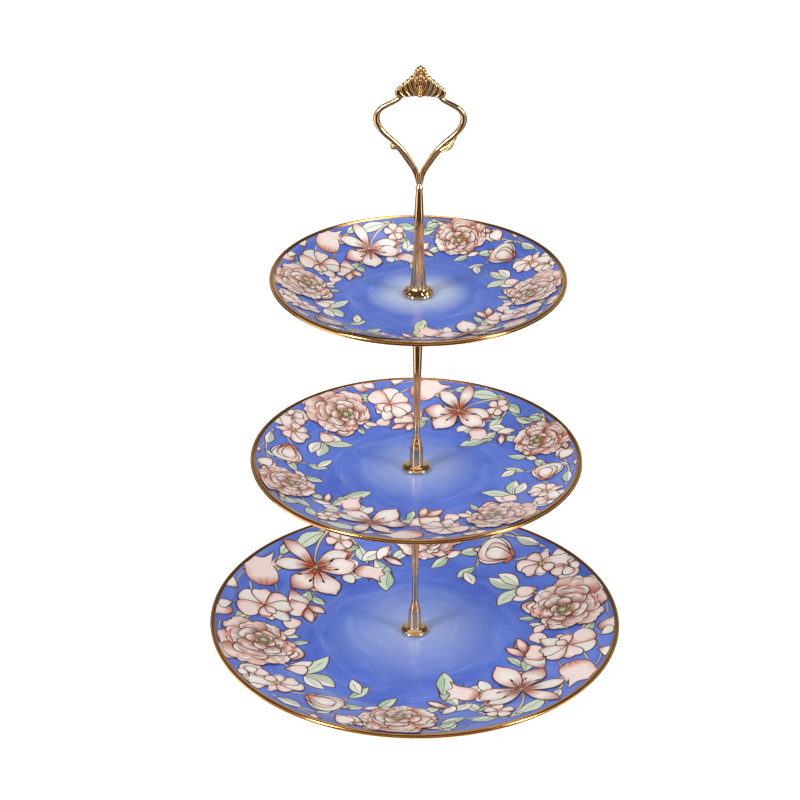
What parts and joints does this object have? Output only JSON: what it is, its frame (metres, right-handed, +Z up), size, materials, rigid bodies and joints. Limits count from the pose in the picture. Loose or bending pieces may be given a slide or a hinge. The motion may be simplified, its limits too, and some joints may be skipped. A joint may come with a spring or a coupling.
{
  "type": "tiered cake stand",
  "caption": "Three-tier cake stand: three round rimmed ceramic plates of rising size on two gilt metal columns, with a loop handle and palmette crest on top.",
  "frame": {"origin": "centre of the circle on which the bottom plate's foot ring rests", "axes": "+Z up along the columns; the handle's loop lies in the XZ plane, its pointed leaf towards +X"},
  "size_m": [0.266, 0.266, 0.4002],
  "materials": {
    "glaze": "glossy blue glaze with floral border and gilt rim",
    "gilt_metal": "polished warm gold",
    "fastener_metal": "plated, lightly satin",
    "silicone": "translucent matt silicone"
  },
  "bodies": {
    "base": {"bottom_plate": "glaze", "bottom_plate_upper_gasket": "silicone", "lower_rod": "gilt_metal", "lower_stud": "fastener_metal", "middle_plate": "glaze", "middle_plate_lower_gasket": "silicone", "middle_plate_support_washer": "fastener_metal"},
    "base_fixing": {"base_washer": "fastener_metal", "bottom_plate_lower_gasket": "silicone"},
    "base_screw": {"base_screw": "fastener_metal"},
    "upper_seat": {"middle_plate_upper_gasket": "silicone"},
    "upper_column": {"upper_rod": "gilt_metal", "upper_stud": "fastener_metal", "top_plate": "glaze", "top_plate_lower_gasket": "silicone", "top_plate_support_washer": "fastener_metal"},
    "handle_seat": {"top_plate_upper_gasket": "silicone"},
    "handle": {"crown_handle": "gilt_metal"}
  },
  "joints": [
    {"name": "base_screw_travel", "type": "slide", "parent": "base", "child": "base_fixing", "axis": [0, 0, -1], "range_m": [0, 0.008]},
    {"name": "base_screw_turn", "type": "hinge", "parent": "base_fixing", "child": "base_screw", "pos_m": [0, 0, 0.0006], "axis": [0, 0, -1], "range_deg": [0, 3600]},
    {"name": "upper_column_travel", "type": "slide", "parent": "base", "child": "upper_seat", "axis": [0, 0, 1], "range_m": [0, 0.01]},
    {"name": "upper_column_turn", "type": "hinge", "parent": "upper_seat", "child": "upper_column", "pos_m": [0, 0, 0.1316], "axis": [0, 0, 1], "range_deg": [0, 4500]},
    {"name": "handle_travel", "type": "slide", "parent": "upper_column", "child": "handle_seat", "axis": [0, 0, 1], "range_m": [0, 0.01]},
    {"name": "handle_turn", "type": "hinge", "parent": "handle_seat", "child": "handle", "pos_m": [0, 0, 0.2538], "axis": [0, 0, 1], "range_deg": [0, 4500]}
  ],
  "couplings": [
    {"joint": "base_screw_turn", "follows": "base_screw_travel", "rad_per_m": 7854},
    {"joint": "upper_column_turn", "follows": "upper_column_travel", "rad_per_m": 7854},
    {"joint": "handle_turn", "follows": "handle_travel", "rad_per_m": 7854}
  ]
}
